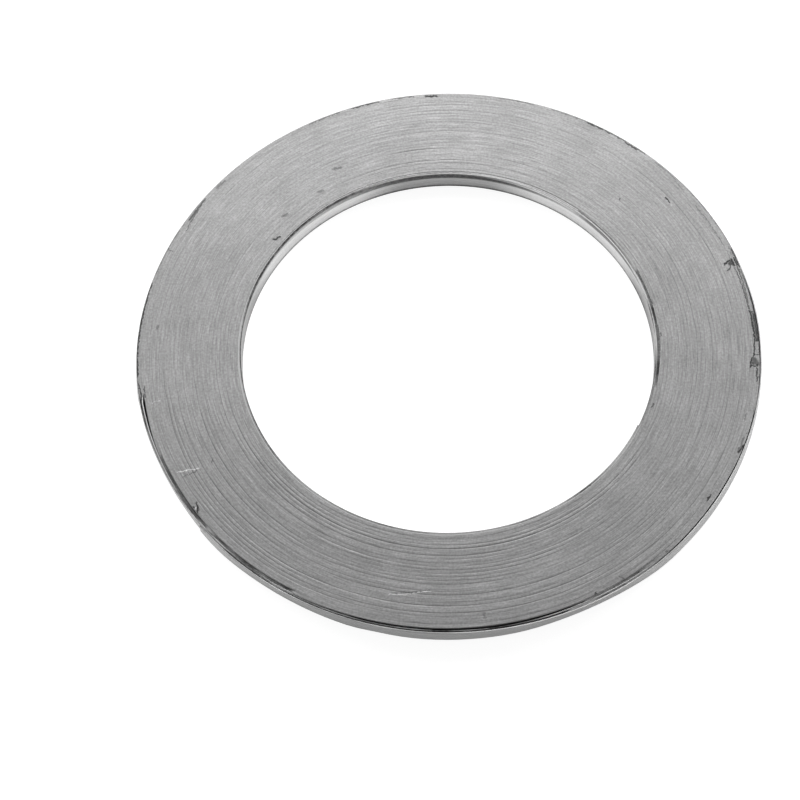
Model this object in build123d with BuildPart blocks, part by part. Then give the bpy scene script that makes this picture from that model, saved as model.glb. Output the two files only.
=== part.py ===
"""Spiral wound gasket: one V-section steel strip and one graphite tape, wound together on edge.

The strip makes a few plain turns at the bore, then winds on with the tape beside it, and closes with a
few plain turns at the rim. The turns run outward clockwise, seen from above. The gasket lies flat on
z = 0, its axis is Z, and the origin is the centre of its lower face. Sizes are in millimetres.
"""
import math
import os

from build123d import *

# Sealing element, its bore and rim measured at the strip's edges
bore_diameter = 80.0
rim_diameter = 120.0
thickness = 4.5  # over the graphite

filler_proud = 0.1  # how far the graphite stands past the strip at each face

# Steel strip, rolled to a V whose point looks outward
strip_thickness = 0.2
v_depth = 0.5  # how far the point of the V stands outward
bore_edge = 0.5  # height of the edges pressed straight against the winding mandrel
rim_flat = 0.4  # height of the blunt point on the outermost turn

# Plain turns, wound with no tape between them
bore_turns = 3
rim_turns = 6

# Graphite tape
tape_thickness = 0.55

# Ridges that the turns leave on both faces, with a flat margin of about one pitch at each side
turns_per_ridge = 3
ridge_depth = 0.12
ridge_flank = 0.3  # radial width of the steep side of a ridge

# Free ends of the strip, as angles about Z
start_angle = 333.0  # where the innermost turn begins
tail_angle = 218.0  # where the outermost turn ends
climb_angle = 24.0  # the next turn is level again this far from a free end
climb_tightening = 1.5  # how much smaller its bending radius is on the way

# Room that cutting bodies reach past the surface they cut, and past the angle where they leave it
cut_margin = 1.0
cut_overrun = 1.5

strip_width = thickness - 2 * filler_proud
strip_bottom = filler_proud
strip_top = thickness - filler_proud
bore_radius = bore_diameter / 2
rim_radius = rim_diameter / 2
winding_bore_radius = bore_radius + bore_turns * strip_thickness
winding_rim_radius = rim_radius - rim_turns * strip_thickness
mid_height = thickness / 2

turn_pitch = strip_thickness + tape_thickness
ridge_pitch = turns_per_ridge * turn_pitch
winding_width = winding_rim_radius - winding_bore_radius
ridge_count = round(winding_width / ridge_pitch) - 2
first_ridge_radius = winding_bore_radius + (winding_width - (ridge_count - 0.5) * ridge_pitch) / 2


def v_wall(radius, height, edge=0.0, flat=0.0):
    """Section of one wall, upward: in at both edges, out at the point of the V.

    The radius is that of the strip's own edges. A taller wall goes on along the flanks of the V.
    """
    half = height / 2
    end_radius = radius + v_depth * (1 - height / strip_width)
    upper = [(radius + v_depth, flat / 2)] if flat else []
    upper += [(end_radius, half - edge)] if edge else []
    upper += [(end_radius, half)]
    lower = [(r, -z) for r, z in reversed(upper)]
    middle = [] if flat else [(radius + v_depth, 0)]
    return [(r, mid_height + z) for r, z in lower + middle + upper]


def end_plane(end_angle, end_radius, level_angle, level_radius):
    """Upright plane at a free end of the strip, its origin the centre that the next turn bends about."""
    end = Vector(end_radius, 0).rotate(Axis.Z, end_angle)
    level = Vector(level_radius, 0).rotate(Axis.Z, level_angle)
    middle = (end + level) / 2
    to_centre = math.sqrt((level_radius - climb_tightening) ** 2 - (level - middle).length ** 2)
    inward = (level - end).normalized().cross(Vector(0, 0, 1 if level_angle < end_angle else -1))
    centre = middle + inward * to_centre
    outward = (end - centre).normalized()
    return Plane(centre, x_dir=outward, z_dir=outward.rotate(Axis.Z, -90))


def ridge_cut(first_radius, face_height, inward):
    """Section of what the ridges leave open: a steep flank in from each crest, then a long rise."""
    valley_height = face_height + inward * ridge_depth
    last_radius = first_radius + ridge_count * ridge_pitch
    outside_height = face_height - inward * cut_margin
    section = []
    for ridge in range(ridge_count):
        crest_radius = first_radius + ridge * ridge_pitch
        section += [(crest_radius, face_height), (crest_radius + ridge_flank, valley_height)]
    section += [(last_radius, face_height), (last_radius, outside_height), (first_radius, outside_height)]
    return section


# Steel strip: its plain turns at the bore, the V a groove around the hole, and those at the rim
with BuildPart() as steel_strip:
    with BuildSketch(Plane.XZ):
        with BuildLine():
            bore_wall = v_wall(bore_radius, strip_width, edge=bore_edge)
            Polyline(*bore_wall, *reversed(v_wall(winding_bore_radius, strip_width)), close=True)
        make_face()
        with BuildLine():
            rim_wall = v_wall(rim_radius, strip_width, flat=rim_flat)
            Polyline(*v_wall(winding_rim_radius, strip_width), *reversed(rim_wall), close=True)
        make_face()
    revolve(axis=Axis.Z)

    # The innermost turn starts here, and climbs over its own end when it comes round
    start = end_plane(start_angle, bore_radius + strip_thickness, start_angle + climb_angle, bore_radius)
    with BuildSketch(start):
        with BuildLine():
            climbing_wall = v_wall(bore_radius - climb_tightening, strip_width, edge=bore_edge)
            clear = bore_radius - climb_tightening - cut_margin
            Polyline(*climbing_wall, (clear, strip_top), (clear, strip_bottom), close=True)
        make_face()
    revolve(axis=Axis(start.origin, (0, 0, 1)), revolution_arc=cut_overrun * climb_angle, mode=Mode.SUBTRACT)

    # The outermost turn ends here, on the turn beneath it
    tail = end_plane(tail_angle, rim_radius - strip_thickness, tail_angle - climb_angle, rim_radius)
    with BuildSketch(tail):
        with BuildLine():
            climbing_wall = v_wall(rim_radius - climb_tightening, strip_width, flat=rim_flat)
            clear = rim_radius + v_depth + cut_margin
            Polyline(*climbing_wall, (clear, strip_top), (clear, strip_bottom), close=True)
        make_face()
    revolve(axis=Axis(tail.origin, (0, 0, 1)), revolution_arc=-cut_overrun * climb_angle, mode=Mode.SUBTRACT)

# Graphite filler, with the strip's buried turns: pressed flat, a true spiral of ridges on both faces.
# Each half turn of the spiral is an arc, and the two centres lie half a pitch apart.
with BuildPart() as graphite_filler:
    with BuildSketch(Plane.XZ):
        with BuildLine():
            Polyline(
                *v_wall(winding_bore_radius, thickness),
                *reversed(v_wall(winding_rim_radius, thickness)),
                close=True,
            )
        make_face()
    revolve(axis=Axis.Z)
    for side in (1, -1):
        centre = side * ridge_pitch / 4
        first_radius = first_ridge_radius if side > 0 else first_ridge_radius - ridge_pitch / 2
        with BuildSketch(Plane.XZ):
            for face_height, inward in ((0, 1), (thickness, -1)):
                with BuildLine():
                    section = ridge_cut(first_radius, face_height, inward)
                    Polyline(*[(centre + r, z) for r, z in section], close=True)
                make_face()
        revolve(axis=Axis((centre, 0, 0), (0, 0, 1)), revolution_arc=side * 180, mode=Mode.SUBTRACT)

os.makedirs("parts", exist_ok=True)
steel_strip.part.label = "steel_strip"
export_step(steel_strip.part, "parts/steel_strip.step")
graphite_filler.part.label = "graphite_filler"
export_step(graphite_filler.part, "parts/graphite_filler.step")
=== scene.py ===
"""Spiral wound gasket: the finish of its steel strip and graphite tape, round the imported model."""
import math

import bpy
import numpy as np
from mathutils import Matrix, Vector


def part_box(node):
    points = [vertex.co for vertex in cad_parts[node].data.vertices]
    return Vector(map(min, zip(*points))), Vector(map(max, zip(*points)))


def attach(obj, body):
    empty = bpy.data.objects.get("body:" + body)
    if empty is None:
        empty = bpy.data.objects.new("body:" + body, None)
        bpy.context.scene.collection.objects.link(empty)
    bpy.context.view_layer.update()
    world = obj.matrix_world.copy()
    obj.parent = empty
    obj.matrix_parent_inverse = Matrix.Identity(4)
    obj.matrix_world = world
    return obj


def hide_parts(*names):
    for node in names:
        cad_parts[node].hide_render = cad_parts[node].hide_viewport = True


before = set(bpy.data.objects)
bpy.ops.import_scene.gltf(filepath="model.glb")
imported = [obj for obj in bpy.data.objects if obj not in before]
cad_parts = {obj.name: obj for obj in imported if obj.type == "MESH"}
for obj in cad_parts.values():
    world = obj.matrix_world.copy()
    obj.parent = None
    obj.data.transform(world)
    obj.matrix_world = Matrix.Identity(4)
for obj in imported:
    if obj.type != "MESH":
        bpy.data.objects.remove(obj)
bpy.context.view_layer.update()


# Steel strip
# One strip of bright-rolled stainless steel, slit to width and rolled to a V whose point looks outward.
# It is wound on edge round a mandrel: plain turns at the bore, then with the graphite tape beside it,
# then plain turns at the rim. The turns run outward clockwise, seen from above.
mm = 0.001
strip_low, strip_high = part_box("steel_strip")
strip_corners = np.array([corner.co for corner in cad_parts["steel_strip"].data.vertices])
face_bottom, face_top = (corner.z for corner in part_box("graphite_filler"))
strip_thickness = 0.2 * mm
v_depth = 0.5 * mm
bore_edge_radius = np.hypot(strip_corners[:, 0], strip_corners[:, 1]).min()
rim_edge_radius = strip_high.x - v_depth

# The strip's length is told in degrees travelled clockwise from its inner end
start_angle = 333.0
travel_step = 2.0
steps_per_turn = int(360 / travel_step)
strip_end = 30 * 360 + 115.0
climb_length = 24.0
wedge_opens = 2 * 360 + 281.0
wedge_filled = 2 * 360 + 308.0
tape_begins = 2 * 360 + 284.0
tape_breaks = 29 * 360 + 21.0
void_ends = 29 * 360 + 82.0
tape_resumes = 29 * 360 + 143.0
tape_ends = 30 * 360 + 44.0
last_turn_loosens = 29 * 360 + 330.0

# Outer sides of the last turns as they are wound: angle about Z and radius in millimetres.
# The last turn stands off at the right and is pulled tight towards its end. The two beneath stand apart
# where the tape is torn out between them, over the near part of the rim, and the face ends inside them.
last_turn_side = ((218, 59.96), (205, 59.95), (196, 60.05), (187, 60.15), (180, 60.25), (172, 60.2),
                  (160, 60.03), (140, 59.97), (120, 59.95), (95, 60.03), (75, 59.95), (50, 60.0),
                  (30, 60.1), (20, 60.2), (10, 60.3), (0, 60.34), (350, 60.33), (342, 60.27), (332, 60.18),
                  (318, 60.18), (311, 60.3), (300, 60.28), (290, 60.17), (275, 60.1), (255, 60.05),
                  (240, 60.0), (225, 59.98))
second_turn_side = ((3, 59.53), (354, 59.65), (345, 59.88), (336, 59.84), (330, 59.74), (319, 59.74),
                    (313, 59.84), (304, 59.82), (298, 59.62), (291, 59.62), (284, 59.7), (275, 59.7),
                    (265, 59.66), (245, 59.66), (225, 59.74), (218, 59.77))
third_turn_side = ((3, 58.81), (354, 58.88), (333, 59.04), (312, 59.1), (295, 59.1), (275, 59.12),
                   (255, 59.15), (245, 59.3), (238, 59.5), (225, 59.54), (215, 59.56), (205, 59.62),
                   (200, 59.66), (195, 59.72), (187, 59.75))
face_side = ((3, 58.61), (354, 58.68), (333, 58.84), (312, 58.9), (295, 58.9), (275, 58.92), (255, 58.95),
             (245, 59.1), (238, 59.3), (225, 59.34), (215, 59.36), (206, 59.4), (200, 59.34), (196, 59.2),
             (192, 59.05), (187, 59.05))
gap_inside_last_turn = ((16, 0), (11, 0.24), (4, 0.26), (0, 0.2), (350, 0.18), (345, 0.05), (339, 0.05),
                        (333, 0.14))

# How far the loose turns are pushed in at the foot, beyond the air inside them, in millimetres. Their V is
# pressed flatter there, by this share of its depth for each millimetre.
pushed_in = ((318, 0), (310, 0), (303, 0.45), (292, 0.35), (283, 0), (262, 0), (250, 0.4), (238, 0.6),
             (228, 0.5), (224, 0.25), (214, 0.5), (203, 0.5), (192, 0.1), (187, 0))
v_flattening = 1.4


def smooth(x):
    """0 up to x = 0, 1 from x = 1, and 3x^2 - 2x^3 between."""
    x = np.clip(x, 0, 1)
    return x * x * (3 - 2 * x)


def polar_angle(travel):
    """Angle about Z, in degrees from 0 to 360, at a distance travelled clockwise from the strip's start."""
    return (start_angle - travel) % 360


def around(knots, angle):
    """Value at an angle: pairs of angle and value joined by straight lines, then averaged over 9 degrees."""
    angles, values = zip(*knots)
    return np.mean([np.interp(angle + turn, angles, values, period=360) for turn in range(-4, 5)], axis=0)


def wind():
    """Radius of the strip's inner side at its top edge, air inside it, its lean and V, every travel step.

    Rows are turns and columns are spokes. Each turn lies on the one beneath: its radius is that turn's, plus
    the strip, plus the tape between. The first turn climbs by one strip on the way round to its own start.
    On each spoke the tape is pressed by one factor, so that the face ends where it should. Outside it lie
    the loose turns. Their lower edges lie tight, so they lean out upwards by the air that is inside them.
    """
    travel = travel_step * np.arange((strip_end // 360 + 1) * steps_per_turn).reshape(-1, steps_per_turn)
    spoke = travel[0]
    turn = np.arange(len(travel))[:, None]
    angle = polar_angle(spoke)
    early = spoke <= tape_resumes % 360
    late = spoke >= last_turn_loosens % 360
    last = np.where(early, 30, 29)

    past_tail = (spoke - strip_end) % 360
    tail_step = strip_thickness * (1 - smooth(past_tail / climb_length)) * (past_tail > 0)
    outermost = around(last_turn_side, angle) * mm - tail_step
    tail_passed = early & (spoke > strip_end % 360)
    second = np.where(tail_passed, outermost, around(second_turn_side, angle) * mm)
    third = around(third_turn_side, angle) * mm
    face_edge = around(face_side, angle) * mm
    slack = around(gap_inside_last_turn, angle) * mm * (spoke > 180)

    loose = early | late
    face_edge = np.where(loose, face_edge, outermost - strip_thickness - slack)
    top = np.where(loose, last - 2, last)
    climb = strip_thickness * smooth((spoke - 360 + climb_length) / climb_length)
    room = smooth((travel - wedge_opens) / (wedge_filled - wedge_opens))
    filled = face_edge - bore_edge_radius - climb - strip_thickness * top
    pressed = room * filled / (room * (turn <= top)).sum(axis=0)
    radius = bore_edge_radius + climb + strip_thickness * turn + np.cumsum(pressed, axis=0)
    air = np.zeros_like(radius)
    lean = np.zeros_like(radius)
    v_share = np.ones_like(radius)

    opening, closing = 18, 6  # degrees over which the void between the loose turns opens and closes
    opened = smooth((spoke - tape_breaks % 360 - opening / 2) / opening)
    missing = opened * smooth((void_ends % 360 - spoke) / closing) * early
    inside_third = (third - strip_thickness - face_edge) * loose
    inside_second = missing * (second - strip_thickness - third)
    inside_last = np.where(early, outermost - strip_thickness - second, slack)
    pushed = around(pushed_in, angle) * mm * early
    for below, side, hollow, leaning in (
        (2, third, inside_third, pushed + inside_third),
        (1, second, 0 * slack, pushed + inside_third + inside_second),
        (0, outermost, inside_last, pushed + inside_third + inside_second + inside_last),
    ):
        columns = np.flatnonzero(loose | (below == 0))
        rows = last[columns] - below
        radius[rows, columns] = side[columns] - strip_thickness
        air[rows, columns] = hollow[columns]
        lean[rows, columns] = leaning[columns]
        v_share[rows, columns] = 1 - v_flattening * pushed[columns] / mm
    wound = travel <= strip_end
    air, lean = np.clip(air, 0, None), np.clip(lean, 0, None)
    return travel[wound], radius[wound], air[wound], lean[wound], v_share[wound]


wound_travel, wound_radius, wound_air, wound_lean, wound_v = wind()

# Section of the strip: straight edges, then the flanks of the V, and a blunt point
strip_bottom, strip_top = strip_low.z, strip_high.z
edge_height = 0.5 * mm
bend_height = 0.12 * mm
point_height = 0.4 * mm
middle = (strip_bottom + strip_top) / 2
v_levels = np.array([
    strip_bottom,
    strip_bottom + edge_height,
    strip_bottom + edge_height + bend_height,
    middle - point_height / 2,
    middle + point_height / 2,
    strip_top - edge_height - bend_height,
    strip_top - edge_height,
    strip_top,
])
flank_rise = v_depth * bend_height / 2 / (middle - point_height / 2 - strip_bottom - edge_height)
v_offsets = np.array([0, 0, flank_rise, v_depth, v_depth, flank_rise, 0, 0])


def inner_side(travel):
    """Radius of the strip's inner side at its top edge, at any travel."""
    return np.interp(travel, wound_travel, wound_radius)


def strip_wall(travel, height):
    """Radius of the strip's inner side at any travel and height: the V, in a wall that leans out upwards.

    The V is also flatter where the last turn stands further out, so that its point stays inside the rim.
    """
    lean_at_point = 0.45  # share of the lean that the wall has at the point of the V
    lean = np.interp(travel, wound_travel, wound_lean)
    below_top = (strip_top - height) / (strip_top - strip_bottom)
    outer_edge = inner_side(travel) + strip_thickness
    v_left = np.clip((rim_edge_radius + v_depth - outer_edge + lean * lean_at_point) / v_depth, 0, 1)
    v_left = np.minimum(v_left, np.interp(travel, wound_travel, wound_v))
    return inner_side(travel) - lean * below_top + v_left * np.interp(height, v_levels, v_offsets)


def drift(travel, spacing, seed):
    """Slow random wave, from -1 to 1: random values every `spacing` degrees, joined by smooth steps."""
    knots = np.random.default_rng(seed).uniform(-1, 1, int(travel.max() / spacing) + 3)
    place = travel / spacing + 1
    knot = place.astype(int)
    return knots[knot] + (knots[knot + 1] - knots[knot]) * smooth(place - knot)


def sweep(name, travel, radius, height, top, values):
    """Closed section carried along the winding: point [i, p] is at travel[i], radius[i, p], height[i, p].

    A section's points run up the inner side and down the outer one, so that its faces point outwards. Point
    `top` and the one opposite stand alone, and the others face each other in pairs, which gives the two end
    caps. `values` are attributes, one number a point.
    """
    turn = np.radians(polar_angle(travel))[:, None]
    points = np.stack([radius * np.cos(turn), radius * np.sin(turn), height], axis=-1)
    count, around = radius.shape
    along, across = np.meshgrid(np.arange(count - 1), np.arange(around), indexing="ij")
    after = (across + 1) % around
    sides = np.stack([along * around + across, (along + 1) * around + across,
                      (along + 1) * around + after, along * around + after], axis=-1).reshape(-1, 4)
    faces = sides.tolist()
    last = (count - 1) * around
    for k in range(around // 2):
        left, next_left = (top - k) % around, (top - k - 1) % around
        right, next_right = (top + k) % around, (top + k + 1) % around
        cap = list(dict.fromkeys([right, next_right, next_left, left]))
        faces.append(cap)
        faces.append([last + corner for corner in reversed(cap)])
    mesh = bpy.data.meshes.new(name)
    mesh.from_pydata(points.reshape(-1, 3).tolist(), [], faces)
    mesh.update()
    for attribute, numbers in values.items():
        layer = mesh.attributes.new(attribute, "FLOAT", "POINT")
        layer.data.foreach_set("value", np.ascontiguousarray(numbers, np.float32).ravel())
    mesh.polygons.foreach_set("use_smooth", [True] * len(mesh.polygons))
    mesh.set_sharp_from_angle(angle=math.radians(40))
    piece = bpy.data.objects.new(name, mesh)
    bpy.context.scene.collection.objects.link(piece)
    return piece


# Darkening on the strip, by angle about Z, 1 and more being black. At the bore: the upper edges of the first
# two turns, then the first turn's inner side, which is painted shade: the floor's contact shade at its foot,
# the dark
# reflection of the shaded floor in its upper flank, and shade with some dirt in the bend above that. At the
# rim:
# the upper edges of the last three turns.
first_turn_darkening = ((356, 0.3), (354, 1.2), (350, 1.2), (348, 0.6), (344, 0.7), (338, 0.7), (332, 0.5),
                   (328, 0.15), (318, 0.3), (308, 0.8), (302, 0.3), (290, 0.35), (270, 0.3), (250, 0.75),
                   (238, 0.6), (231, 0.25), (224, 0.4), (214, 0.75), (204, 0.9), (174, 0.95), (166, 1.0),
                   (118, 0.95), (108, 0.5), (84, 0.4), (60, 0.4), (25, 0.25), (12, 0.3), (10, 1.3),
                   (7, 1.3), (5, 0.3))
second_turn_darkening = ((356, 0.15), (354, 0.9), (350, 0.9), (348, 0.5), (344, 0.6), (338, 0.7), (330, 0.45),
                    (316, 0.3), (309, 1.3), (302, 0.3), (296, 0.2), (291, 1.1), (286, 0.3), (270, 0.3),
                    (248, 0.6), (236, 0.3), (222, 0.7), (205, 0.6), (190, 0.3), (174, 0.5), (164, 0.95),
                    (125, 0.9), (112, 0.7), (86, 0.9), (78, 0.5), (60, 0.6), (40, 0.8), (25, 0.6),
                    (11, 0.35), (9, 0.8), (7, 0.8), (5, 0.15))
bore_foot_shade = ((340, 0.9), (26, 0.9), (20, 1.4), (352, 1.4))
bore_flank_shade = ((176, 0), (168, 0.5), (150, 0.6), (135, 0.7), (120, 0.8), (105, 0.95), (88, 1.0),
                   (76, 1.1), (62, 0.9), (52, 0.5), (42, 0))
bore_bend_shade_and_dirt = ((60, 0), (50, 0.4), (43, 1.6), (25, 1.8), (21, 0.2), (18, 0))
last_turn_darkening = ((188, 0.9), (181, 0.9), (174, 0.5), (165, 0.5), (160, 0.05), (40, 0.05), (36, 1.1),
                  (30, 1.1), (28, 0.2), (25, 1.2), (22, 1.0), (19, 0.2), (15, 0.3), (0, 0.5), (345, 0.5),
                  (335, 0.4), (325, 0.35), (314, 0.45), (300, 0.2))
under_last_darkening = ((312, 0.15), (291, 0.25), (286, 0.85), (224, 0.85), (214, 0.7), (206, 0.35),
                   (199, 0.05), (190, 0.1))
face_rim_darkening = ((300, 0.3), (256, 0.35), (250, 0.0), (238, 0.0), (235, 0.8), (226, 0.6), (224, 0.05),
                 (219, 0.05), (216, 0.7), (206, 0.5), (200, 0.05))


def make_strip():
    """The strip's section, two walls with a crowned edge above and below, carried along the winding.

    `film` is rubbed graphite on the edges. The darker attribute beside it holds dirt, most of it in the
    seams, darkening on the upper edges, and painted shade on the bore's wall. `worn` is the last turn's upper
    edge, rubbed bright.
    """
    travel = wound_travel[:, None]
    walls = len(v_levels)
    unevenness = 0.02 * mm
    level = np.repeat(v_levels[None], len(travel), axis=0)
    level[:, [0, -1]] += unevenness * drift(wound_travel, 75, 11)[:, None]
    inner = strip_wall(travel, level)
    outer = inner + strip_thickness
    edge = (inner + outer) / 2
    crown = 0.015 * mm
    radius = np.hstack([inner, edge[:, -1:], outer[:, ::-1], edge[:, :1]])
    height = np.hstack([level, level[:, -1:] + crown, level[:, ::-1], level[:, :1] - crown])

    angle = polar_angle(wound_travel)
    turns_to_end = (strip_end - wound_travel) / 360
    first_turn, first_two, last_turn = wound_travel < 360, wound_travel < 720, turns_to_end < 1
    near_rim = wound_radius > (bore_edge_radius + rim_edge_radius) / 2
    far_rim = near_rim * smooth((192 - angle) / 8) * smooth((angle - 12) / 10)
    upper, corners = [walls - 1, walls, walls + 1], [0, walls - 1, walls + 1, 2 * walls]

    film = np.zeros_like(radius)
    bore_film, rim_film, last_film = 0.6, 0.5, 0.3 + 0.6 * far_rim
    rubbed = np.where(near_rim, np.where(last_turn, last_film, rim_film), bore_film)
    film[:, upper + [0, 2 * walls, 2 * walls + 1]] = rubbed[:, None]

    worn = np.zeros_like(radius)
    bright = last_turn * (1 - far_rim)
    worn[:, upper] = bright[:, None]
    film[:, upper] *= 1 - bright[:, None]

    dirt_and_shade = np.zeros_like(radius)
    seam_dirt, buried_dirt = 0.3, 0.2
    darkening = np.select(
        [first_turn, first_two, last_turn, turns_to_end < 2, turns_to_end < 3],
        [around(first_turn_darkening, angle), around(second_turn_darkening, angle), around(last_turn_darkening, angle),
         around(under_last_darkening, angle), around(face_rim_darkening, angle)], buried_dirt)
    mottled = np.where(first_two, 0.15, 0.4)
    darkening = np.clip(darkening * (1 + mottled * drift(wound_travel, 5, 12)), 0, 1)
    dirt_and_shade[:, corners] = seam_dirt
    dirt_and_shade[:, upper] = np.maximum(dirt_and_shade[:, upper], darkening[:, None])

    # The bore's wall, upwards from its foot, painted darker as shade: the floor's contact shade at its foot,
    # the dark reflection of the shaded floor in its upper flank, and shade with some dirt in the bend above.
    # The lower flank stays light at the point of the V, and so does the upper flank at the left.
    foot_angles, foot_values = zip(*bore_foot_shade)
    foot = np.interp(angle, foot_angles, foot_values, period=360)
    flank_shade, bend_shade_and_dirt = around(bore_flank_shade, angle), around(bore_bend_shade_and_dirt, angle)
    at_left = smooth((angle - 120) / 30)
    bore_wall_shade_and_dirt = np.stack([
        foot, 0.65 * foot, 0.35 * foot, np.full(len(angle), 0.1),
        np.maximum(0.6 * bend_shade_and_dirt, 0.8 * flank_shade) * (1 - at_left),
        np.maximum(bend_shade_and_dirt, flank_shade) * (1 - 0.7 * at_left),
        np.maximum(bend_shade_and_dirt, flank_shade * smooth((angle - 60) / 30)),
    ], axis=1)
    levels = bore_wall_shade_and_dirt.shape[1]
    dirt_and_shade[:, :levels] = np.maximum(dirt_and_shade[:, :levels], bore_wall_shade_and_dirt * first_turn[:, None])
    return sweep("steel_strip_winding", wound_travel, radius, height, walls,
                 {"dirt_and_shade": dirt_and_shade, "film": film, "worn": worn})


def linear(hex_colour):
    """Linear RGBA from an sRGB hex value."""
    channels = [int(hex_colour[i:i + 2], 16) / 255 for i in (1, 3, 5)]
    return [c / 12.92 if c <= 0.04045 else ((c + 0.055) / 1.055) ** 2.4 for c in channels] + [1.0]


def add(tree, kind, inputs=None, **settings):
    """New node of a kind, with its settings, and its inputs given as values or as sockets to link."""
    node = tree.nodes.new("ShaderNode" + kind)
    for setting, value in settings.items():
        setattr(node, setting, value)
    for key, value in (inputs or {}).items():
        if isinstance(value, bpy.types.NodeSocket):
            tree.links.new(value, node.inputs[key])
        else:
            node.inputs[key].default_value = value
    return node


def new_material(name):
    """Empty node material, with its tree and its output node."""
    material = bpy.data.materials.new(name)
    material.use_nodes = True
    material.node_tree.nodes.clear()
    output = add(material.node_tree, "OutputMaterial")
    return material, material.node_tree, output


def winding_coordinates(tree):
    """Object coordinates of the winding: the point, its radius, and a seamless frame that follows the turns.

    The frame is (x/r, y/r, r): noise on it, stretched along the radius, makes streaks along the turns.
    """
    point = add(tree, "TexCoord").outputs["Object"]
    flat = add(tree, "VectorMath", {0: point, 1: (1, 1, 0)}, operation="MULTIPLY").outputs[0]
    radius = add(tree, "VectorMath", {0: flat}, operation="LENGTH").outputs["Value"]
    spoke = add(tree, "VectorMath", {0: flat}, operation="NORMALIZE").outputs[0]
    rise = add(tree, "CombineXYZ", {"Z": radius}).outputs[0]
    return point, radius, spoke, rise


def streaks(tree, spoke, rise, length, width, detail=2.0):
    """Noise drawn out along the turns: `length` and `width` are a streak's size in metres."""
    mean_radius = (bore_edge_radius + rim_edge_radius) / 2
    round_part = add(tree, "VectorMath", {0: spoke, "Scale": mean_radius / length}, operation="SCALE")
    radial_part = add(tree, "VectorMath", {0: rise, "Scale": 1 / width}, operation="SCALE")
    place = add(tree, "VectorMath", {0: round_part.outputs[0], 1: radial_part.outputs[0]}, operation="ADD")
    noise = add(tree, "TexNoise", {"Vector": place.outputs[0], "Scale": 1.0, "Detail": detail})
    return noise.outputs["Fac"]


def stainless_material():
    """Stainless strip, 2B cold rolled: bright and a little soft in its reflections, drawn along its length.

    Its slit edges carry a film of rubbed graphite, and dirt between the turns; the bore's wall is painted
    darker as shade, towards the same dark grey.
    """
    material, tree, output = new_material("cold_rolled_stainless")
    point, radius, spoke, rise = winding_coordinates(tree)
    level = add(tree, "VectorMath", {0: point, 1: (0, 0, 1)}, operation="MULTIPLY").outputs[0]
    rolling = streaks(tree, spoke, level, 9 * mm, 0.12 * mm)
    steel = add(tree, "MixRGB", {"Fac": rolling, "Color1": linear("#adadad"), "Color2": linear("#d6d6d6")})
    worn = add(tree, "Attribute", attribute_name="worn").outputs["Fac"]
    bright = add(tree, "MixRGB", {"Fac": worn, "Color1": steel.outputs[0], "Color2": linear("#d4d4d4")})
    film = add(tree, "Attribute", attribute_name="film").outputs["Fac"]
    covered = add(tree, "MixRGB", {"Fac": film, "Color1": bright.outputs[0], "Color2": linear("#969696")})
    dirt_and_shade = add(tree, "Attribute", attribute_name="dirt_and_shade").outputs["Fac"]
    specks = add(tree, "TexNoise", {"Vector": point, "Scale": 1 / (0.7 * mm), "Detail": 3.0}).outputs["Fac"]
    patchy = add(tree, "MapRange", {0: specks, 1: 0.35, 2: 0.65, 3: 0.88, 4: 1.1}).outputs[0]
    # Dirt and darkening on the edges, and painted shade on the bore's wall, take the steel towards a dark
    # grey
    darkening = add(tree, "Math", {0: dirt_and_shade, 1: patchy}, operation="MULTIPLY", use_clamp=True).outputs[0]
    coloured = add(tree, "MixRGB", {"Fac": darkening, "Color1": covered.outputs[0], "Color2": linear("#303030")})
    gloss = add(tree, "MapRange", {0: rolling, 3: 0.2, 4: 0.34}).outputs[0]
    rubbed = add(tree, "Math", {0: worn, 1: film}, operation="ADD").outputs[0]
    dulled = add(tree, "Math", {0: rubbed, 1: 0.3, 2: gloss}, operation="MULTIPLY_ADD").outputs[0]
    bump = add(tree, "Bump", {"Height": rolling, "Strength": 0.15, "Distance": 0.01 * mm})
    shader = add(tree, "BsdfPrincipled", {
        "Base Color": coloured.outputs[0], "Metallic": 1.0, "Roughness": dulled, "Normal": bump.outputs[0],
    })
    tree.links.new(shader.outputs[0], output.inputs[0])
    return material


strip = make_strip()
strip.data.materials.append(stainless_material())
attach(strip, "root")
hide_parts("steel_strip")


# Graphite tape
# One tape of flexible graphite, wound between the strip's turns and pressed down flush, so that it closes
# over the strip's edges and leaves fine lines between the turns, painted darker as shade in their grooves.
# Both faces are burnished by the press, and the tape is torn dark where it begins at the bore and where it
# breaks off at the rim, painted darker still where it is sunk deeper, as shade in the hollow.
long_lines = (
    # radius, from angle, to angle, depth: turns that stand a little apart from the next
    (40.6, 203, 300, 0.9),
    (40.6, 20, 78, 0.8),
    (41.1, 4, 28, 0.7),
    (59.5, 276, 312, 1.2),
    (43.2, 188, 330, 1.0),
    (44.7, 180, 290, 0.8),
    (46.3, 303, 318, 0.6),
    (47.7, 275, 300, 0.8),
    (49.0, 240, 258, 0.6),
    (50.2, 232, 288, 0.6),
    (52.7, 240, 302, 0.8),
    (53.3, 200, 215, 0.5),
    (54.0, 330, 357, 0.7),
    (54.2, 300, 330, 0.5),
    (54.8, 178, 306, 1.0),
    (55.5, 344, 358, 0.7),
    (56.3, 275, 300, 0.5),
    (56.8, 204, 258, 0.5),
    (57.5, 205, 240, 0.4),
    (47.2, 338, 354, 0.6),
    (42.4, 305, 325, 0.5),
    (43.8, 2, 40, 0.5),
    (46.6, 84, 108, 0.9),
    (52.3, 90, 116, 0.6),
    (43.5, 88, 122, 0.5),
    (48.1, 82, 104, 0.5),
    (43.5, 148, 166, 0.5),
    (45.5, 140, 176, 0.5),
    (54.0, 165, 180, 0.5),
)

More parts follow.
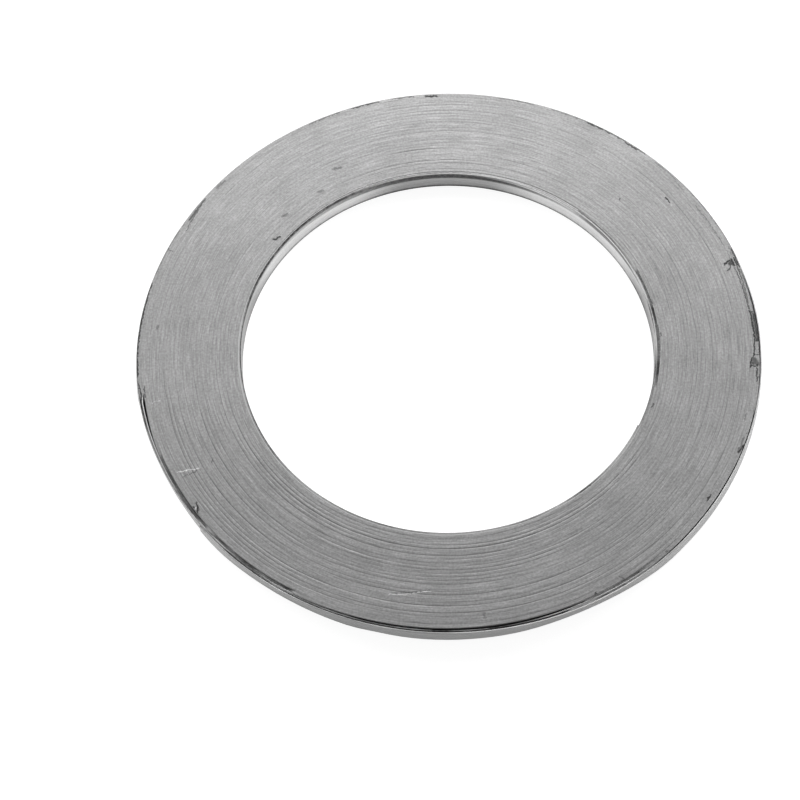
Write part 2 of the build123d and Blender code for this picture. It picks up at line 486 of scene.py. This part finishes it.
# How far the tape is torn out near its end: degrees travelled past the 29th turn, and depth in millimetres.
# It is chipped along the far part of the rim, gone where the turns stand apart over the near part, ragged
# from there on, and torn in its last scrap.
torn_depth = ((-268, 0), (-266, 0.25), (-263, 0.2), (-261, 0.06), (-258, 0.25), (-255, 0.1), (-251, 0.2),
              (-248, 0.06), (-244, 0.3), (-240, 0.25), (-238, 0.08), (-234, 0.25), (-230, 0.1), (-227, 0),
              (18, 0), (24, 0.1), (34, 0.1), (42, 0.15), (47, 1.1), (78, 1.1), (81, 0.25), (93, 0.15),
              (103, 0.1), (115, 0.25), (126, 0.15), (133, 0.3), (137, 0.8), (141, 0.6), (143, 0), (348, 0),
              (352, 1.1), (376, 1.1), (379, 0.14), (387, 0.12), (390, 0.08), (402, 0.06), (404, 1.0))


def groove_strength(travel):
    """How open the line at the strip is at a travel, from 0 to about 1: faint and fading, with long lines."""
    angle = polar_angle(travel)
    radius = inner_side(travel) + strip_thickness / 2
    # This strength also sets how dark each line is painted, as shade in its groove
    contrast = np.interp(angle, [0, 30, 60, 90, 120, 150, 180, 210, 270, 300, 330, 360],
                         [.55, .45, .2, .55, .25, .3, .25, .8, .7, .6, .5, .55])
    strength = contrast * np.clip(0.35 + 0.5 * drift(travel, 22, 3) + 0.35 * drift(travel, 151, 4), 0, 1)
    half_pitch = 0.38 * mm
    fade = 10  # degrees over which a long line comes and goes
    waver = 0.75 + 0.25 * drift(travel, 6, 5)
    for line_radius, from_angle, to_angle, depth in long_lines:
        nearest = np.abs(radius - line_radius * mm) < half_pitch
        along = smooth((angle - from_angle) / fade) * smooth((to_angle - angle) / fade)
        strength = np.maximum(strength, nearest * along * depth * waver)
    return strength


def make_tape():
    """The tape's section, V-shaped walls under a crown above and below, carried between the strip's turns.

    The crowns reach to the middle of the strip's edges. Each line is a groove at that border, as deep as
    groove_strength says. Where the tape is torn the crown is sunk, uneven, and keeps between the walls.
    """
    # Steps are finer along its two ends, where it is torn
    fine = travel_step / 4
    first_length = np.arange(tape_begins, tape_begins + 70, fine)
    middle_length = np.arange(first_length[-1] + fine, 28 * 360 + 80, travel_step)
    last_length = np.arange(middle_length[-1] + travel_step, tape_ends, fine)
    travel = np.concatenate([first_length, middle_length, last_length])

    # Torn places: a shallow one with two pits where the tape begins, and torn_depth near its end
    rng = np.random.default_rng(21)
    ragged = drift(travel, 1.5, 6)
    begun = travel - tape_begins
    torn_start = smooth((begun - 24 + 2 * ragged) / 4) * (1 - smooth((begun - 60 + 4 * ragged) / 6))
    pits = np.interp(begun, [37, 39, 42, 44, 54, 56, 59, 61], [0, 1, 1, 0, 0, 1, 1, 0])
    depth_of_start = torn_start * (0.05 + 0.03 * drift(travel, 3, 7) + 0.25 * pits)
    travelled, depths = zip(*torn_depth)
    depth_of_end = np.interp(travel - 29 * 360 + 0.6 * ragged, travelled, depths)
    depth_of_end *= 1 + 0.5 * drift(travel, 2, 8)
    torn = np.maximum(torn_start, smooth(depth_of_end / 0.12))
    sunk = np.clip(depth_of_start + depth_of_end, 0, None) * mm
    air = np.interp(travel, wound_travel, wound_air) * (travel < 30 * 360)

    # Upper face. On the first lap its crown stays off the turn inside. It covers the whole edge of the turn
    # outside just before the tape breaks, and on the last scrap it stays off that edge too.
    sliver = 0.02 * mm
    shoulder_width = 0.12 * mm
    line_level, groove_depth = 0.012 * mm, 0.05 * mm
    level = (0.018 + 0.012 * drift(travel, 65, 9)) * mm
    crown = face_top - level - sunk
    corner = np.minimum(strip_top, crown - sliver)
    inner_top = strip_wall(travel - 360, corner) + strip_thickness
    outer_top = np.maximum(strip_wall(travel, corner) - air, inner_top + sliver)
    half_edge = strip_thickness / 2
    whole = 1 - smooth(sunk / (0.15 * mm))
    before_break = (travel > 29 * 360 - 9) & (travel < tape_breaks)
    reach_share = np.select([travel > 30 * 360, before_break], [0, 2], 1)
    inner_border = inner_top - whole * (travel > tape_begins + 360) * half_edge
    outer_border = outer_top + whole * (1 - smooth(air / (0.04 * mm))) * half_edge * reach_share
    shoulder = np.minimum(shoulder_width, (outer_border - inner_border) / 4)
    inner_line, outer_line = groove_strength(travel - 360), groove_strength(travel)
    inner_height, outer_height = (
        face_top - np.where(torn > 0.05, level + sunk, line_level + groove_depth * line)
        for line in (inner_line, outer_line)
    )
    rough = torn * rng.uniform(-0.12, 0.1, (3, len(travel))) * mm
    rough = np.minimum(rough, level + sunk)

    # Walls and lower face, which is whole
    low = np.full(len(travel), strip_bottom)
    centre = np.full(len(travel), middle)
    inner_low = strip_wall(travel - 360, low) + strip_thickness
    outer_low = np.maximum(strip_wall(travel, low), inner_low + sliver)
    inner_middle = strip_wall(travel - 360, centre) + strip_thickness
    outer_middle = np.maximum(strip_wall(travel, centre) - air / 2, inner_middle + sliver)
    low_shoulder = np.minimum(shoulder_width, (outer_low - inner_low + 2 * half_edge) / 4)
    radius = np.stack([
        inner_low, inner_middle, inner_top,
        inner_border, inner_border + shoulder, (inner_border + outer_border) / 2,
        outer_border - shoulder, outer_border,
        outer_top, outer_middle, outer_low,
        outer_low + half_edge, outer_low + half_edge - low_shoulder, (inner_low + outer_low) / 2,
        inner_low - half_edge + low_shoulder, inner_low - half_edge,
    ], axis=1)
    low_crown = face_bottom + level
    height = np.stack([
        low, centre, corner,
        inner_height, crown + rough[0], crown + rough[1],
        crown + rough[2], outer_height,
        corner, centre, low,
        face_bottom + line_level + groove_depth * outer_line, low_crown, low_crown,
        low_crown, face_bottom + line_level + groove_depth * inner_line,
    ], axis=1)

    # The line's strength also paints the tape darker there in the material, as shade in the groove
    line = np.zeros_like(radius)
    line[:, [3, 15]] = inner_line[:, None]
    line[:, [7, 11]] = outer_line[:, None]
    rent = np.repeat(torn[:, None], radius.shape[1], axis=1)
    shade = np.repeat((sunk / mm)[:, None], radius.shape[1], axis=1)
    return sweep("graphite_tape", travel, radius, height, 5, {"line": line, "torn": rent, "sunk": shade})


# Marks on the upper face, each a stroke: angle and radius at its ends, width, and tone (above 0 is dark).
# They are drawn on the face unrolled at one radius.
unrolled_radius = 55 * mm
strokes = (
    # A claw-shaped dent at the right, and the torn edge of the face from there on
    (18.2, 58.9, 17.4, 57.2, 0.5, 1.0),
    (17.2, 58.8, 15.8, 57.3, 0.5, 0.9),
    (18.2, 58.9, 16.6, 58.95, 0.55, 1.0),
    (20.2, 59.9, 16.2, 59.9, 0.45, 0.96),
    (18.2, 59.55, 16.5, 59.6, 0.45, 1.0),
    (15.4, 59.8, 6.0, 59.85, 0.3, 0.7),
    (16.4, 59.5, 8.0, 59.15, 0.3, 0.75),
    (32.0, 58.75, 16.0, 58.9, 0.28, 0.5),
    (16.0, 58.9, 6.5, 58.95, 0.35, 0.8),
    (21.0, 59.6, 16.0, 59.4, 0.24, 0.5),
    (6.0, 59.9, 6.0, 59.0, 0.45, 1.0),
    (6.0, 59.05, 0.5, 59.15, 0.45, 1.0),
    (0.5, 59.15, -3.0, 58.9, 0.38, 1.0),
    (5.4, 59.65, 0.0, 59.7, 0.6, 1.0),
    (0.2, 59.9, -0.3, 59.5, 0.75, 1.0),
    (5.0, 59.38, 0.5, 59.42, 0.68, 0.48),
    (-3.2, 60.0, -3.2, 58.9, 0.3, 1.0),
    (-3.2, 58.9, -4.5, 58.35, 0.38, 1.0),
    (-4.5, 58.3, -6.0, 58.2, 0.45, 1.0),
    (-6.0, 58.2, -5.5, 59.6, 0.45, 1.0),
    (-4.4, 58.9, -5.2, 59.4, 1.3, 0.75),
    (-5.0, 58.6, -5.2, 58.8, 1.0, 0.8),
    (-6.2, 59.45, -8.8, 59.5, 0.45, 0.9),
    (-8.0, 60.1, -8.0, 59.5, 0.35, 0.7),
    (-20.0, 60.0, -20.0, 59.5, 0.22, 0.72),
    (-21.0, 59.3, -24.3, 59.25, 0.45, 0.6),
    (-22.6, 59.75, -24.3, 59.35, 0.45, 1.0),
    (-16.0, 58.6, -17.6, 58.55, 0.38, 0.42),
    (-34.2, 58.6, -35.8, 58.65, 0.43, 1.0),
    (-58.0, 59.0, -58.2, 58.1, 0.38, 0.54),
    (-63.5, 59.0, -63.5, 58.7, 0.45, 0.96),
    (17.6, 58.7, 17.3, 58.3, 0.9, 0.9),
    (5.4, 59.4, 0.0, 59.4, 0.7, 0.6),
    (-1.0, 59.9, -2.8, 59.85, 0.4, 0.8),
    (-48.0, 59.9, -48.3, 59.5, 0.5, 0.7),
    # Dark marks along the far edge of the face
    (39.0, 59.2, 36.0, 59.2, 0.3, 0.36),
    (36.0, 60.0, 30.0, 60.0, 0.3, 0.48),
    (27.0, 60.05, 22.0, 60.1, 0.3, 0.48),
    (44.5, 59.6, 39.0, 59.65, 0.43, 0.48),
    (49.0, 59.75, 47.2, 59.8, 0.38, 0.84),
    (51.8, 59.5, 49.0, 59.55, 0.53, 0.9),
    (56.5, 59.6, 52.0, 59.75, 0.43, 0.9),
    (60.5, 59.6, 57.0, 59.6, 0.53, 0.96),
    (68.0, 59.65, 60.5, 59.65, 0.33, 0.6),
    (79.0, 59.6, 72.0, 59.6, 0.3, 0.6),
    (100.0, 59.7, 96.0, 59.65, 0.38, 0.84),
    (108.5, 59.65, 103.0, 59.65, 0.38, 0.96),
    (117.5, 59.6, 111.0, 59.6, 0.38, 0.72),
    (93.4, 59.4, 91.2, 59.35, 0.68, 1.0),
    (149.5, 59.3, 144.0, 59.5, 0.65, 0.8),
    (152.0, 58.5, 145.5, 59.3, 0.35, 0.6),
    (140.5, 59.4, 138.5, 59.3, 0.7, 0.5),
    (157.2, 59.8, 157.4, 58.7, 0.38, 0.66),
    (163.0, 59.85, 150.0, 59.75, 0.22, 0.6),
    (179.9, 60.0, 165.0, 59.9, 0.45, 1.0),
    (-179.9, 60.0, -174.5, 60.0, 0.53, 1.0),
    (-173.5, 60.0, -169.8, 59.5, 0.38, 1.0),
    (-170.0, 58.95, -172.4, 58.85, 0.33, 0.84),
    # Nicks, scratches and smears
    (36.9, 55.2, 35.6, 55.05, 0.5, 1.0),
    (35.4, 55.0, 34.6, 54.95, 0.25, -0.15),
    (43.6, 48.2, 43.4, 48.0, 0.48, 0.72),
    (118.2, 47.25, 116.4, 46.9, 0.9, 0.6),
    (125.2, 44.2, 123.8, 43.9, 0.8, 0.5),
    (137.0, 44.6, 135.6, 44.2, 0.8, 0.55),
    (143.7, 42.4, 143.3, 42.0, 0.7, 1.0),
    (143.4, 42.0, 142.0, 41.85, 0.6, 1.0),
    (175.0, 56.6, 174.4, 56.6, 0.6, 0.48),
    (-168.5, 57.8, -168.7, 56.2, 0.2, -0.2),
    (-161.0, 45.0, -161.5, 44.9, 0.48, 0.36),
    (-151.2, 57.0, -151.0, 54.2, 0.36, 0.6),
    (-152.6, 57.8, -151.4, 53.6, 0.22, -0.45),
    (-151.3, 50.9, -151.8, 50.7, 0.48, 0.6),
    (-143.0, 58.9, -143.9, 58.2, 0.6, 1.0),
    (-143.9, 58.2, -145.2, 57.7, 0.53, 1.0),
    (-144.9, 59.0, -144.7, 58.5, 0.45, 0.96),
    (-144.2, 58.7, -144.4, 58.3, 0.2, -0.52),
    # A scratch: two light strokes, its painted highlight, and a dark stroke beside them, its painted shadow
    (-94.1, 51.85, -98.0, 52.6, 0.2, -0.36),
    (-98.4, 52.8, -102.3, 53.5, 0.2, -0.32),
    (-94.4, 51.65, -101.8, 53.1, 0.24, 0.48),
    (-84.2, 57.4, -84.2, 56.4, 0.6, 0.36),
    (2.5, 41.3, 1.5, 41.3, 0.36, 0.72),
    (-19.5, 41.25, -20.5, 41.2, 0.36, 0.72),
)


def stroke_mask(tree, place, from_angle, from_radius, to_angle, to_radius, width, strength):
    """`strength` along a stroke of the face, falling to 0 and below at half its width.

    It is the distance to a line segment, with angle along X and radius along Y. Minimum and maximum stand in
    for clamping, which would keep every stroke's values at once.
    """
    soft_share = 0.6  # outer share of the half width, over which the stroke fades
    start, end = (Vector((math.radians(angle) * unrolled_radius, radius * mm, 0))
                  for angle, radius in ((from_angle, from_radius), (to_angle, to_radius)))
    direction = (end - start).normalized()
    to_start = add(tree, "VectorMath", {0: place, 1: start}, operation="SUBTRACT").outputs[0]
    ahead = add(tree, "VectorMath", {0: to_start, 1: direction}, operation="DOT_PRODUCT").outputs["Value"]
    begun = add(tree, "Math", {0: ahead, 1: 0.0}, operation="MAXIMUM").outputs[0]
    within = add(tree, "Math", {0: begun, 1: (end - start).length}, operation="MINIMUM").outputs[0]
    foot = add(tree, "VectorMath", {0: direction, "Scale": within}, operation="SCALE").outputs[0]
    gap = add(tree, "VectorMath", {0: to_start, 1: foot}, operation="DISTANCE").outputs["Value"]
    slope = -strength / soft_share / (width * mm / 2)
    fading = add(tree, "Math", {0: gap, 1: slope, 2: strength / soft_share}, operation="MULTIPLY_ADD")
    return add(tree, "Math", {0: fading.outputs[0], 1: strength}, operation="MINIMUM").outputs[0]


def graphite_material():
    """Flexible graphite, pressed and rubbed: a grey with a soft metallic sheen and streaks along the turns.

    The lines between turns are painted darker, as shade in their grooves; the torn parts are dark and grainy,
    and painted darker still where they are sunk deeper, as shade in the hollow; and the upper face has its
    scratches, nicks and smears, one scratch with a painted highlight and a painted shadow beside it.
    """
    material, tree, output = new_material("pressed_flexible_graphite")
    point, radius, spoke, rise = winding_coordinates(tree)
    long_streaks = streaks(tree, spoke, rise, 14 * mm, 0.3 * mm, 3.0)
    fine_streaks = streaks(tree, spoke, rise, 3.5 * mm, 0.14 * mm, 3.0)
    clouds = add(tree, "TexNoise", {"Vector": point, "Scale": 1 / (9 * mm), "Detail": 4.0}).outputs["Fac"]
    grain = add(tree, "TexNoise", {"Vector": point, "Scale": 1 / (0.45 * mm), "Detail": 3.0}).outputs["Fac"]

    dark_streak, light_streak = linear("#707070"), linear("#8a8a8a")
    tone = add(tree, "MixRGB", {"Fac": long_streaks, "Color1": dark_streak, "Color2": light_streak})
    for share, pattern in ((0.54, fine_streaks), (0.2, clouds), (0.45, grain)):
        tone = add(tree, "MixRGB", {"Fac": share, "Color1": tone.outputs[0], "Color2": pattern},
                   blend_type="OVERLAY")

    line = add(tree, "Attribute", attribute_name="line").outputs["Fac"]
    # Painted shade: each line is darkened by its strength, as shade in its groove
    line_painted_shade = add(tree, "MapRange", {0: line, 1: 0.0, 2: 1.0, 3: 0.0, 4: 0.85}).outputs[0]
    tone = add(tree, "MixRGB", {"Fac": line_painted_shade, "Color1": tone.outputs[0], "Color2": linear("#2a2a2a")})

    x, y = (add(tree, "SeparateXYZ", {0: point}).outputs[axis] for axis in "XY")
    turned = add(tree, "Math", {0: y, 1: x}, operation="ARCTAN2").outputs[0]
    along = add(tree, "Math", {0: turned, 1: unrolled_radius}, operation="MULTIPLY").outputs[0]
    unrolled = add(tree, "CombineXYZ", {"X": along, "Y": radius}).outputs[0]
    shaken = add(tree, "TexNoise", {"Vector": point, "Scale": 1 / (0.6 * mm), "Detail": 2.0}).outputs["Color"]
    centred = add(tree, "VectorMath", {0: shaken, 1: (0.5, 0.5, 0.5)}, operation="SUBTRACT").outputs[0]
    shift = add(tree, "VectorMath", {0: centred, 1: (1.2 * mm, 0.8 * mm, 0)}, operation="MULTIPLY").outputs[0]
    marked_place = add(tree, "VectorMath", {0: unrolled, 1: shift}, operation="ADD").outputs[0]
    dark_marks_and_shadow, light_marks_and_highlight = 0.0, 0.0
    for *ends, width, mark_tone in strokes:
        if mark_tone > 0:
            mask = stroke_mask(tree, marked_place, *ends, width, mark_tone)
            dark_marks_and_shadow = add(tree, "Math", {0: mask, 1: dark_marks_and_shadow}, operation="MAXIMUM").outputs[0]
        else:
            mask = stroke_mask(tree, marked_place, *ends, width, -mark_tone)
            light_marks_and_highlight = add(tree, "Math", {0: mask, 1: light_marks_and_highlight}, operation="MAXIMUM").outputs[0]
    # Dark strokes are marks and the painted shadow beside a scratch; light strokes are marks and its painted
    # highlight
    tone = add(tree, "MixRGB", {"Fac": dark_marks_and_shadow, "Color1": tone.outputs[0], "Color2": linear("#242424")})
    tone = add(tree, "MixRGB", {"Fac": light_marks_and_highlight, "Color1": tone.outputs[0], "Color2": linear("#e8e8e8")})

    torn = add(tree, "Attribute", attribute_name="torn").outputs["Fac"]
    sunk = add(tree, "Attribute", attribute_name="sunk").outputs["Fac"]
    # Torn graphite is dark and grainy; where it is sunk deeper it is painted darker still, as shade in the
    # hollow
    depth = add(tree, "MapRange", {0: sunk, 1: 0.05, 2: 0.5}).outputs[0]
    shallow = add(tree, "MixRGB", {"Fac": grain, "Color1": linear("#2a2a2a"), "Color2": linear("#7e7e7e")})
    crumbs_and_shade = add(tree, "MixRGB", {"Fac": depth, "Color1": shallow.outputs[0], "Color2": linear("#202020")})
    tone = add(tree, "MixRGB", {"Fac": torn, "Color1": tone.outputs[0], "Color2": crumbs_and_shade.outputs[0]})

    gloss = add(tree, "MapRange", {0: long_streaks, 3: 0.42, 4: 0.54}).outputs[0]
    gloss = add(tree, "Math", {0: torn, 1: 0.3, 2: gloss}, operation="MULTIPLY_ADD").outputs[0]
    bump = add(tree, "Bump", {"Height": fine_streaks, "Strength": 0.4, "Distance": 0.02 * mm})
    shader = add(tree, "BsdfPrincipled", {
        "Base Color": tone.outputs[0], "Metallic": 0.55, "Roughness": gloss, "Normal": bump.outputs[0],
    })
    tree.links.new(shader.outputs[0], output.inputs[0])
    return material


tape = make_tape()
tape.data.materials.append(graphite_material())
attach(tape, "root")
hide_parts("graphite_filler")


# Floor
# A white sweep that the gasket lies on. It shows white behind the object and in its steel, with painted light
# where the steel sees it inside the bore, most in two painted pools of light, and it still takes the gasket's
# own soft shadow.
def make_floor():
    """A square of two metres, just below the gasket."""
    half = 1.0
    level = face_bottom - 0.02 * mm
    mesh = bpy.data.meshes.new("floor")
    mesh.from_pydata([(-half, -half, level), (half, -half, level), (half, half, level), (-half, half, level)],
                     [], [(0, 1, 2, 3)])
    floor = bpy.data.objects.new("floor", mesh)
    bpy.context.scene.collection.objects.link(floor)
    return floor


def floor_material():
    """Matt white paper, with a glow where it is seen, so that the background is white and shadows stay.

    The camera sees all of the glow, and reflections a part, which is painted light on the floor as the steel
    sees it:
    little past the rim, more inside the bore, and all in two painted pools of light there, on the left and
    the right, where the glow is also stronger. The part in a pool goes by the distance of the point (|x|,
    |y|) from its middle.
    """
    glow_strength, painted_pool_strength = 0.88, 0.4
    painted_pool_middle = (23 * mm, 25 * mm, 0)
    painted_pool_inner, painted_pool_outer = 11 * mm, 19 * mm
    bore_painted_part, rim_part = 0.35, 0.13
    material, tree, output = new_material("white_paper")
    path = add(tree, "LightPath")
    reflected = add(tree, "Math", {0: path.outputs["Is Glossy Ray"], 1: path.outputs["Is Transmission Ray"]},
                    operation="MAXIMUM").outputs[0]
    point = add(tree, "TexCoord").outputs["Object"]
    quarter = add(tree, "VectorMath", {0: point}, operation="ABSOLUTE").outputs[0]
    off_painted_pool = add(tree, "VectorMath", {0: quarter, 1: painted_pool_middle}, operation="DISTANCE").outputs["Value"]
    off_axis = add(tree, "VectorMath", {0: point}, operation="LENGTH").outputs["Value"]
    # Painted light in reflections: more glow inside the bore than past the rim, and all of it in two painted
    # pools of light
    painted_light_outside_pools = add(tree, "MapRange", {0: off_axis, 1: 45 * mm, 2: 55 * mm, 3: bore_painted_part, 4: rim_part})
    painted_pool = add(tree, "MapRange", {0: off_painted_pool, 1: painted_pool_inner, 2: painted_pool_outer, 3: 1.0,
                                  4: painted_light_outside_pools.outputs[0]}).outputs[0]
    painted_light_part = add(tree, "Math", {0: reflected, 1: painted_pool}, operation="MULTIPLY").outputs[0]
    strength = add(tree, "Math", {0: painted_light_part, 1: painted_pool_strength, 2: glow_strength}, operation="MULTIPLY_ADD")
    part = add(tree, "Math", {0: painted_light_part, 1: path.outputs["Is Camera Ray"]}, operation="ADD").outputs[0]
    paper = add(tree, "BsdfDiffuse", {"Color": (0.92, 0.92, 0.92, 1)})
    tinted = add(tree, "BsdfDiffuse", {"Color": (0.25, 0.25, 0.25, 1)})
    glow = add(tree, "Emission", {"Color": (1, 1, 1, 1), "Strength": strength.outputs[0]})
    shown = add(tree, "AddShader", {0: tinted.outputs[0], 1: glow.outputs[0]})
    mix = add(tree, "MixShader", {0: part, 1: paper.outputs[0], 2: shown.outputs[0]})
    tree.links.new(mix.outputs[0], output.inputs[0])
    return material


floor = make_floor()
floor.data.materials.append(floor_material())


# Light and camera
# Three soft boxes behind the gasket and an even grey room, so that the far side of the face is the brighter.
# The camera looks down at the middle of the upper face from in front, with a long lens.
def make_room():
    """An even grey room, white where it is seen."""
    world = bpy.data.worlds.new("room")
    world.use_nodes = True
    tree = world.node_tree
    tree.nodes.clear()
    output = add(tree, "OutputWorld")
    seen = add(tree, "LightPath").outputs["Is Camera Ray"]
    colour = add(tree, "MixRGB", {"Fac": seen, "Color1": (0.44, 0.44, 0.44, 1), "Color2": (1, 1, 1, 1)})
    background = add(tree, "Background", {"Color": colour.outputs[0], "Strength": 1.0})
    tree.links.new(background.outputs[0], output.inputs[0])
    bpy.context.scene.world = world


def make_soft_box(name, place, width, height, watts):
    """Rectangular area lamp at a place, turned to the middle of the gasket."""
    data = bpy.data.lights.new(name, "AREA")
    data.shape = "RECTANGLE"
    data.size = width
    data.size_y = height
    data.energy = watts
    lamp = bpy.data.objects.new(name, data)
    bpy.context.scene.collection.objects.link(lamp)
    lamp.location = place
    lamp.rotation_euler = (-Vector(place)).to_track_quat("-Z", "Y").to_euler()


make_room()
make_soft_box("back_soft_box", (0.0, 0.33, 0.25), width=0.3, height=0.26, watts=1.2)
make_soft_box("left_soft_box", (-0.34, 0.25, 0.2), width=0.25, height=0.25, watts=1.6)
make_soft_box("right_soft_box", (0.34, 0.25, 0.2), width=0.25, height=0.25, watts=1.6)

camera_elevation = math.radians(59.81)
camera_distance = 436.2 * mm
camera_pan, camera_tilt, camera_roll = (math.radians(angle) for angle in (1.23, -1.37, 1.08))
toward = Vector((0, -math.cos(camera_elevation), math.sin(camera_elevation)))
camera_data = bpy.data.cameras.new("camera")
camera_data.lens = 101.6
camera_data.clip_start = 10 * mm
camera = bpy.data.objects.new("camera", camera_data)
bpy.context.scene.collection.objects.link(camera)
across = Vector((1, 0, 0))
square_on = Matrix((across, toward.cross(across), toward)).transposed().to_4x4()
camera.matrix_world = (
    Matrix.Translation(Vector((0, 0, face_top)) + camera_distance * toward)
    @ square_on
    @ Matrix.Rotation(camera_pan, 4, "Y")
    @ Matrix.Rotation(camera_tilt, 4, "X")
    @ Matrix.Rotation(-camera_roll, 4, "Z")
)
bpy.context.scene.camera = camera
bpy.context.scene.view_settings.view_transform = "Standard"
